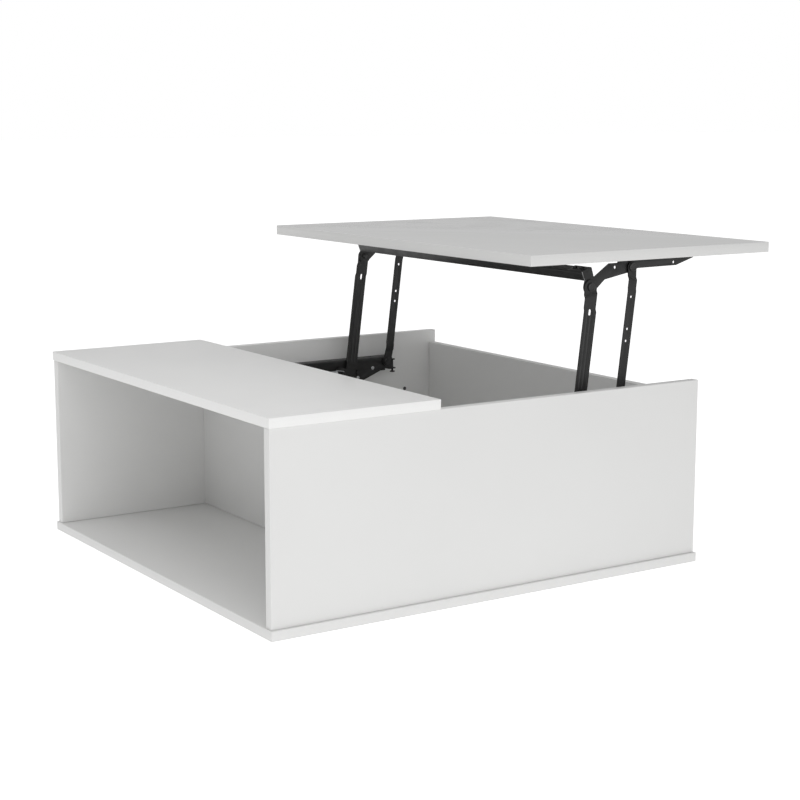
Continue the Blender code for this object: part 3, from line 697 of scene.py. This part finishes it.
front_upper = centre_of("front_upper_pin_near")
rear_upper = centre_of("rear_upper_pin_near")
for side in SIDES:
    outline = [
        on_bar(0.0010, 0), on_bar(0.0003, -0.0003), on_bar(0, -0.0010), on_bar(0, -NECK_EDGE),
        *ring((front_upper.x, front_upper.z), 0.0155, 165, 330, 18),
        (0.2990, 0.5880), (0.3550, 0.5980), (0.3640, 0.5984), (0.3710, 0.5990), (0.3770, 0.6010),
        (0.3800, 0.6045), (0.3835, 0.6064), (0.4865, 0.6075), (0.5325, 0.6212), (0.5340, 0.6232),
        (0.5340, 0.6259), (0.3348, 0.6259), (0.3340, 0.6250), (0.3322, 0.6205), (0.3308, 0.6195),
        (0.3095, 0.6195), (0.3080, 0.6188), (0.2724, 0.5952), (0.2706, 0.5960),
        on_bar(0.0243, -0.0040), on_bar(0.0241, -0.0020), on_bar(0.0232, -0.0006),
        on_bar(0.0216, 0),
    ]
    holes = [ring((point.x, point.z), PIN_HOLE) for point in (front_upper, rear_upper)]
    holes += [ring((0.3250, 0.6110), 0.0030, steps=24), ring((0.4800, 0.6140), 0.0028, steps=24)]
    shape = blank([outline] + holes)
    bmesh.ops.translate(shape, vec=(0, near_y(PLATE), 0), verts=shape.verts)
    thicken(shape)
    tab_start = (0.0006, near_y(PLATE + 0.0005), -ANGLE_SHEET)
    tab = slab(tab_start, (0.0220, near_y(TAB_END), 0), 0.0006)
    tilt(tab, NECK_CORNER)
    join(shape, tab)
    # Faces along the neck's leading edge take the bare steel colour: a painted highlight.
    for face in shape.faces:
        along, above = from_bar(face.calc_center_median())
        on_edge = abs(along) < 0.0006 and 0.0002 - NECK_EDGE < above < -0.0012
        painted_highlight = on_edge and abs(face.normal.y) < 0.6
        face.material_index = 1 if painted_highlight else 0
    finish_piece(
        f"{side}_upper_bracket", shape, (powder_coat, bare_steel_highlight), f"upper_bracket_{side}",
        mirror=side == "far",
    )


# --- Cross bar ---
# A folded steel angle between the two upper brackets, so that both sides lift together. It
# is cut from coated stock; its end faces are painted in bare steel colour as a painted highlight.

low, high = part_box("cross_bar")
shape = bmesh.new()
ends = [shape.verts.new((0, y, -NECK_EDGE)) for y in (low.y, high.y)]
BAR_WEB = 0.0181
BAR_FLANGE = 0.0230
fold(shape, [shape.edges.new(ends)], (0, 0, BAR_WEB), (BAR_FLANGE, 0, 0))
bend_and_thicken(shape, 0.0032, ANGLE_SHEET)
tilt(shape, NECK_CORNER)
# The end faces take the bare steel colour: a painted highlight.
for face in shape.faces:
    face.material_index = 1 if abs(face.normal.y) > 0.9 else 0
finish_piece(
    "folded_cross_bar", shape, (powder_coat, bare_steel_highlight), "cross_bar",
)


# --- Slide channels ---
# Roll-formed from 1.2 mm strip and screwed under the lift top. Their lips hold the shoes of
# the upper brackets, which slide along them as the top folds down.

CHANNEL_LIP = 0.0060
low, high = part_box("slide_channel_near")
for side in SIDES:
    screws = [centre_of(f"channel_screw_near_{number}") for number in (1, 2)]
    shape = blank(
        [[(low.x, low.y), (high.x, low.y), (high.x, high.y), (low.x, high.y)]]
        + [ring((point.x, point.y), 0.0030, steps=24) for point in screws]
    )
    level(shape, high.z)
    fold(shape, rim(shape, 1, low.y), (0, 0, low.z - high.z), (0, CHANNEL_LIP, 0))
    fold(shape, rim(shape, 1, high.y), (0, 0, low.z - high.z), (0, -CHANNEL_LIP, 0))
    bend_and_thicken(shape, 0.0017, 0.0012, 0.0002)
    finish_piece(
        f"{side}_slide_channel", shape, (powder_coat,), f"slide_channel_{side}",
        mirror=side == "far",
    )


# --- Slide shoes ---
# A flat steel runner welded along each upper bracket's tail, with rounded corners so that it
# enters the channel easily.

for side in SIDES:
    shape = slab(*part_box("slide_shoe_near"), 0.0007, segments=3)
    finish_piece(
        f"{side}_slide_shoe", shape, (powder_coat,), f"slide_shoe_{side}",
        mirror=side == "far",
    )


# --- Pivot pins ---
# Turned shoulder rivets. The lower ones have dished heads on the well's side; the upper
# ones have theirs on the outside, and are set over a washer on the inside.

# Phosphated and oiled steel: blacker and smoother than the powder coat, with a fine mottle
# of 0.3 mm, drawn at 0.8 mm so that it shows.
pin_black, tree, shader, place = new_finish("black_phosphated_steel", "#101010", 0.3, IOR=1.6)
marks = add_node(
    tree, "ShaderNodeTexNoise", {"Scale": 1 / 0.0008, "Detail": 2.0}, {"Vector": place},
)
pattern(
    tree, shader, marks, tones=("#0D0D0D", "#161616"), roughness=(0.24, 0.36),
    relief=(0.00003, 0.4),
)

LOWER_PIN = [
    (0, 0), (0.0037, 0), (0.0040, 0.0003), (0.0040, 0.0028), (0.0065, 0.0028), (0.0065, 0.0047),
    (0.0040, 0.0047), (0.0040, 0.0078), (0.0083, 0.0078), (0.0086, 0.0081), (0.0086, 0.0098),
    (0.0084, 0.0103), (0.0079, 0.0106), (0.0062, 0.0106), (0.0058, 0.0104), (0.0054, 0.0098),
    (0, 0.0098),
]
UPPER_PIN = [
    (0, 0), (0.0040, 0.0001), (0.0054, 0.0006), (0.0060, 0.0014), (0.0060, 0.0027),
    (0.0040, 0.0027), (0.0040, 0.0058), (0.0065, 0.0058), (0.0065, 0.0067), (0.0040, 0.0067),
    (0.0040, 0.0098), (0.0083, 0.0098), (0.0086, 0.0101), (0.0086, 0.0118), (0.0084, 0.0123),
    (0.0079, 0.0126), (0.0062, 0.0126), (0.0058, 0.0124), (0.0054, 0.0118), (0, 0.0118),
]
UPPER_PIN_FOOT = 0.0760  # depth of the upper pins' set ends
PINS = (("lower", LOWER_PIN, WEB_OUTER, False), ("upper", UPPER_PIN, UPPER_PIN_FOOT, True))
for side in SIDES:
    for end in ("front", "rear"):
        for place_name, profile, foot, outward in PINS:
            centre = centre_of(f"{end}_{place_name}_pin_near")
            shape = turned(profile)
            lay_across(shape, centre.x, centre.z, foot, outward)
            finish_piece(
                f"{side}_{end}_{place_name}_pin", shape, (pin_black,),
                f"{end}_{place_name}_pin_{side}", mirror=side == "far",
            )


# --- Spring anchors and web rivets ---
# Turned steel, zinc plated. Each anchor is riveted in the web and has a groove behind its
# head for the spring's loop. Two low domed rivets are set in the same web.

# Bright zinc plate: pale metal, with a patchy bloom of a few millimetres in its gloss.
zinc_plate, tree, shader, place = new_finish("bright_zinc_plate", "#C6C8CA", 0.3, Metallic=1.0)
bloom = add_node(tree, "ShaderNodeTexNoise", {"Scale": 1 / 0.003, "Detail": 4.0}, {"Vector": place})
pattern(tree, shader, bloom, tones=("#BABCBF", "#D0D1D3"), roughness=(0.22, 0.38))

ANCHOR = [
    (0, 0), (0.0030, 0), (0.0030, 0.0200), (0.0026, 0.0206), (0.0026, 0.0236), (0.0030, 0.0242),
    (0.0030, 0.0285), (0.0048, 0.0285), (0.0050, 0.0288), (0.0050, 0.0298), (0.0046, 0.0304),
    (0, 0.0305),
]
WEB_RIVET = [
    (0, 0), (0.0030, 0), (0.0030, 0.0028), (0.0040, 0.0028), (0.0042, 0.0030), (0.0038, 0.0035),
    (0.0028, 0.0038), (0.0015, 0.0040), (0, 0.0040),
]
for side in SIDES:
    shape = turned(ANCHOR)
    lay_across(shape, spring_anchor.x, spring_anchor.z, WEB_OUTER, outward=False)
    finish_piece(
        f"{side}_spring_anchor", shape, (zinc_plate,), f"spring_anchor_{side}",
        mirror=side == "far",
    )
    for number in (1, 2):
        centre = centre_of(f"bracket_rivet_near_{number}")
        shape = turned(WEB_RIVET)
        lay_across(shape, centre.x, centre.z, WEB_OUTER, outward=False)
        finish_piece(
            f"{side}_web_rivet_{number}", shape, (zinc_plate,), f"bracket_rivet_{side}_{number}",
            mirror=side == "far",
        )


# --- Adjusting bolts ---
# A small bolt through the base bracket's ear, with a thread between its two flat heads.
# It is black like the pressings.

low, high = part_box("adjusting_bolt_near")
PITCH = 0.0008  # of the thread
thread = []
for turn in range(33):
    height = low.z + 0.0030 + turn * PITCH
    thread += [(0.0022, height), (0.0025, height + PITCH / 2)]
for side in SIDES:
    shape = turned(
        [(0, low.z), (0.0058, low.z), (0.0064, low.z + 0.0005), (0.0065, low.z + 0.0020),
         (0.0060, low.z + 0.0026), (0.0025, low.z + 0.0027)]
        + thread
        + [(0.0025, high.z - 0.0027), (0.0060, high.z - 0.0026), (0.0065, high.z - 0.0020),
           (0.0064, high.z - 0.0005), (0.0058, high.z), (0, high.z)]
    )
    bmesh.ops.translate(shape, vec=(bolt_centre.x, bolt_centre.y, 0), verts=shape.verts)
    finish_piece(
        f"{side}_adjusting_bolt", shape, (powder_coat,), f"adjusting_bolt_{side}",
        mirror=side == "far",
    )


# --- Cross bar screws ---
# Black button head screws with a hexagon socket, two at each end of the cross bar. They
# stand square on the tilted bar and hold it on the brackets' tabs.

BUTTON_RADIUS = 0.0046
BUTTON_HEIGHT = 0.0029
BAR_SHANK = [
    (0, -0.0065), (0.0014, -0.0065), (0.0021, -0.0058), (0.0021, 0.0002), (0.0024, 0.0002),
    (0.0024, 0.0012), (0, 0.0010),
]
seat_x, seat_z = on_bar(0.0125, 0.0003)


def on_top_rim(vert):
    """Whether a point of the upright head is on its outer top edge."""
    reach = math.hypot(vert.co.x, vert.co.z)
    return vert.co.y > BUTTON_HEIGHT - 0.0001 and reach > BUTTON_RADIUS - 0.0006


for side in SIDES:
    for number in (1, 2):
        shape = blank([ring((0, 0), BUTTON_RADIUS, steps=48), ring((0, 0), 0.0016, steps=6)])
        thicken(shape, BUTTON_HEIGHT, 0.0)
        outer = [edge for edge in shape.edges if all(map(on_top_rim, edge.verts))]
        bmesh.ops.bevel(
            shape, geom=outer, offset=0.0014, segments=5, profile=0.5, affect="EDGES", material=-1,
        )
        level(shape, 0)
        join(shape, turned(BAR_SHANK))
        tilt(shape, (seat_x, centre_of(f"bar_screw_near_{number}").y, seat_z))
        finish_piece(
            f"{side}_bar_screw_{number}", shape, (powder_coat,), f"bar_screw_{side}_{number}",
            mirror=side == "far",
        )


# --- Channel screws ---
# Zinc plated countersunk wood screws with a cross recess, driven up through each channel
# into the lift top.

CROSS = [
    (0.0020, 0.0004), (0.0004, 0.0004), (0.0004, 0.0020), (-0.0004, 0.0020), (-0.0004, 0.0004),
    (-0.0020, 0.0004), (-0.0020, -0.0004), (-0.0004, -0.0004), (-0.0004, -0.0020),
    (0.0004, -0.0020), (0.0004, -0.0004), (0.0020, -0.0004),
]
SUNK_RADIUS = 0.0037
SUNK_DEPTH = 0.0009  # depth of the cross recess
WOOD_SHANK = [
    (0, 0.0008), (0.0023, 0.0008), (0.0018, 0.0013), (0.0018, 0.0116), (0.0006, 0.0139),
    (0, 0.0140),
]
for side in SIDES:
    for number in (1, 2):
        shape = blank([ring((0, 0), SUNK_RADIUS, steps=48), CROSS])
        thicken(shape, SUNK_DEPTH, 0.0)
        level(shape, 0)
        for vert in shape.verts:
            if math.hypot(vert.co.x, vert.co.y) > SUNK_RADIUS - 0.0007:
                vert.co.xy *= 1 - 0.35 * vert.co.z / SUNK_DEPTH
        join(shape, turned(WOOD_SHANK))
        centre = centre_of(f"channel_screw_near_{number}")
        head_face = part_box(f"channel_screw_near_{number}")[0].z
        bmesh.ops.translate(shape, vec=(centre.x, centre.y, head_face), verts=shape.verts)
        finish_piece(
            f"{side}_channel_screw_{number}", shape, (zinc_plate,),
            f"channel_screw_{side}_{number}", mirror=side == "far",
        )


# --- Stop buffers ---
# Moulded black rubber with a shoulder and a rounded head, on a stem pushed through the web.
# The raised front arm rests on it.

# Moulded rubber: matt and slightly rough at about 0.4 mm, with a grey bloom.
rubber, tree, shader, place = new_finish("black_moulded_rubber", "#191919", 0.8, IOR=1.52)
skin = add_node(tree, "ShaderNodeTexNoise", {"Scale": 1 / 0.0004, "Detail": 3.0}, {"Vector": place})
bloom = add_node(tree, "ShaderNodeTexNoise", {"Scale": 1 / 0.004, "Detail": 2.0}, {"Vector": place})
pattern(tree, shader, bloom, tones=("#161616", "#202020"), roughness=(0.72, 0.86))
pattern(tree, shader, skin, relief=(0.00005, 0.5))

STOP = [
    (0, 0), (0.0026, 0), (0.0030, 0.0004), (0.0030, 0.0040), (0.0055, 0.0040), (0.0059, 0.0044),
    (0.0060, 0.0060), (0.0060, 0.0095), (0.0058, 0.0107), (0.0052, 0.0114), (0.0040, 0.0115),
    (0, 0.0115),
]
for side in SIDES:
    shape = turned(STOP)
    lay_across(shape, stop_centre.x, stop_centre.z, WEB_OUTER, outward=False)
    finish_piece(
        f"{side}_stop_buffer", shape, (rubber,), f"stop_buffer_{side}",
        mirror=side == "far",
    )


# --- Lifting springs ---
# Tension springs of 2.4 mm wire wound close, each hooked over the anchor and over the front
# arm's stud. The coil is built in its rest shape and rides on no body, and the hook is a piece of
# its own.

# Zinc plated spring wire: the same bright plate over a drawn skin with marks of about 0.8 mm.
spring_wire, tree, shader, place = new_finish(
    "zinc_plated_spring_wire", "#B9BBBE", 0.33, Metallic=1.0,
)
skin = add_node(tree, "ShaderNodeTexNoise", {"Scale": 1 / 0.0008, "Detail": 3.0}, {"Vector": place})
pattern(tree, shader, skin, tones=("#AAACAF", "#C4C6C8"), roughness=(0.26, 0.42))

WIRE = 0.0012  # the wire's radius
COIL_RADIUS = 0.0086
LOOP_RADIUS = 0.0058
LOOP_TURN = 255  # degrees that each end loop goes round
BEND = 0.0030  # radius of the bend between the coil and its legs
COIL_START = 0.0570  # from the anchor
COIL_STOP = 0.0180  # from the stud, or a little more
WINDING = 0.0026  # from one turn to the next
SPRING_DEPTH = 0.0780

stretch = spring_lug - spring_anchor
spring_length = math.hypot(stretch.x, stretch.z)
slope = math.atan2(stretch.z, stretch.x)
turns = round((spring_length - COIL_STOP - COIL_START - BEND) / WINDING)
coil_end = COIL_START + BEND + turns * WINDING


def section(shape, place_at, heading):
    """The wire's section as a circle at a point, square to the X or the Y axis."""
    drawn = bmesh.ops.create_circle(shape, cap_ends=False, segments=8, radius=WIRE)["verts"]
    axis = "Y" if heading == "X" else "X"
    bmesh.ops.rotate(shape, matrix=Matrix.Rotation(math.pi / 2, 3, axis), verts=drawn)
    bmesh.ops.translate(shape, vec=place_at, verts=drawn)
    return drawn + list({edge for vert in drawn for edge in vert.link_edges})


def wind(shape, geometry, centre, axis, degrees, steps, advance=0.0):
    """Carries the wire's section round an axis, and along X if it advances; gives its new end."""
    return bmesh.ops.spin(
        shape, geom=geometry, cent=centre, axis=axis, dvec=(advance / steps, 0, 0),
        angle=math.radians(degrees), steps=steps, use_merge=False,
    )["geom_last"]


def draw(shape, geometry, vec):
    """Carries the wire's section straight; gives its new end."""
    edges = [item for item in geometry if isinstance(item, bmesh.types.BMEdge)]
    strip = bmesh.ops.extrude_edge_only(shape, edges=edges)["geom"]
    verts = [item for item in strip if isinstance(item, bmesh.types.BMVert)]
    bmesh.ops.translate(shape, vec=vec, verts=verts)
    return verts + [
        item for item in strip
        if isinstance(item, bmesh.types.BMEdge) and all(vert in verts for vert in item.verts)
    ]


def hang(shape):
    """Closes the wire's ends and hangs it from the anchor towards the stud, on the near side."""
    bmesh.ops.holes_fill(shape, edges=shape.edges, sides=0)
    bmesh.ops.rotate(shape, matrix=Matrix.Rotation(-slope, 3, "Y"), verts=shape.verts)
    bmesh.ops.translate(
        shape, vec=(spring_anchor.x, near_y(SPRING_DEPTH), spring_anchor.z), verts=shape.verts,
    )


for side in SIDES:
    shape = bmesh.new()
    start = section(shape, (0, 0, LOOP_RADIUS), "X")
    leg = draw(shape, start, (COIL_START, BEND, COIL_RADIUS - LOOP_RADIUS))
    wind(shape, leg, (COIL_START, 0, 0), (0, 0, 1), -90, 6)
    one_turn = bmesh.new()
    seed = section(one_turn, (COIL_START + BEND, 0, COIL_RADIUS), "Y")
    wind(one_turn, seed, (0, 0, 0), (1, 0, 0), 360, 20, WINDING)
    turn_mesh = bpy.data.meshes.new("one_turn")
    one_turn.to_mesh(turn_mesh)
    one_turn.free()
    for turn in range(turns):
        shape.from_mesh(turn_mesh)
        turn_mesh.transform(Matrix.Translation((WINDING, 0, 0)))
    bpy.data.meshes.remove(turn_mesh)
    bmesh.ops.remove_doubles(shape, verts=shape.verts, dist=0.00001)
    wind(shape, start, (0, 0, 0), (0, 1, 0), -LOOP_TURN, 24)
    hang(shape)
    if side == "far":
        bmesh.ops.scale(shape, vec=(1, -1, 1), verts=shape.verts)
    bmesh.ops.recalc_face_normals(shape, faces=shape.faces)
    coil_mesh = bpy.data.meshes.new(f"{side}_spring_coil")
    shape.to_mesh(coil_mesh)
    shape.free()
    coil_mesh.materials.append(spring_wire)
    coil_mesh.shade_smooth()
    coil = bpy.data.objects.new(f"{side}_spring_coil", coil_mesh)
    bpy.context.scene.collection.objects.link(coil)
    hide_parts(f"lift_spring_{side}")
    along = Vector((math.cos(slope), 0, math.sin(slope)))
    coil_y = near_y(SPRING_DEPTH) * (-1 if side == "far" else 1)
    foot = Vector((spring_anchor.x, coil_y, spring_anchor.z))
    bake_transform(coil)

    shape = bmesh.new()
    start = section(shape, (coil_end, 0, COIL_RADIUS), "Y")
    bent = wind(shape, start, (coil_end + BEND, 0, 0), (0, 0, 1), 90, 6)
    leg = draw(shape, bent, (spring_length - coil_end - BEND, BEND, LOOP_RADIUS - COIL_RADIUS))
    wind(shape, leg, (spring_length, 0, 0), (0, 1, 0), LOOP_TURN, 24)
    hang(shape)
    finish_piece(
        f"{side}_spring_hook", shape, (spring_wire,), f"spring_hook_{side}",
        mirror=side == "far",
    )


# --- Cam covers ---
# Push-in caps over the cam fittings in the side panels' inner faces, one at each side. Each
# has a thin raised rim round a flat middle.

# Moulded plastic: mid grey, satin, with a spark-eroded grain of about 0.5 mm.
cap_plastic, tree, shader, place = new_finish("grey_satin_plastic", "#4C4C4D", 0.5, IOR=1.49)
grain = add_node(
    tree, "ShaderNodeTexNoise", {"Scale": 1 / 0.0005, "Detail": 2.0}, {"Vector": place},
)
pattern(
    tree, shader, grain, tones=("#484849", "#525253"), roughness=(0.44, 0.56),
    relief=(0.00004, 0.4),
)

low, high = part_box("panel_cam_cap_near")
centre = centre_of("panel_cam_cap_near")
radius = (high.x - low.x) / 2
for side in SIDES:
    shape = turned([
        (0, 0), (radius, 0), (radius, 0.0004), (radius - 0.0003, 0.0007),
        (radius - 0.0011, 0.0008), (radius - 0.0013, 0.0006), (0, 0.0006),
    ])
    lay_across(shape, centre.x, centre.z, low.y - near_y(0), outward=False)
    finish_piece(
        f"{side}_cam_cover", shape, (cap_plastic,), f"panel_cam_cap_{side}",
        mirror=side == "far",
    )
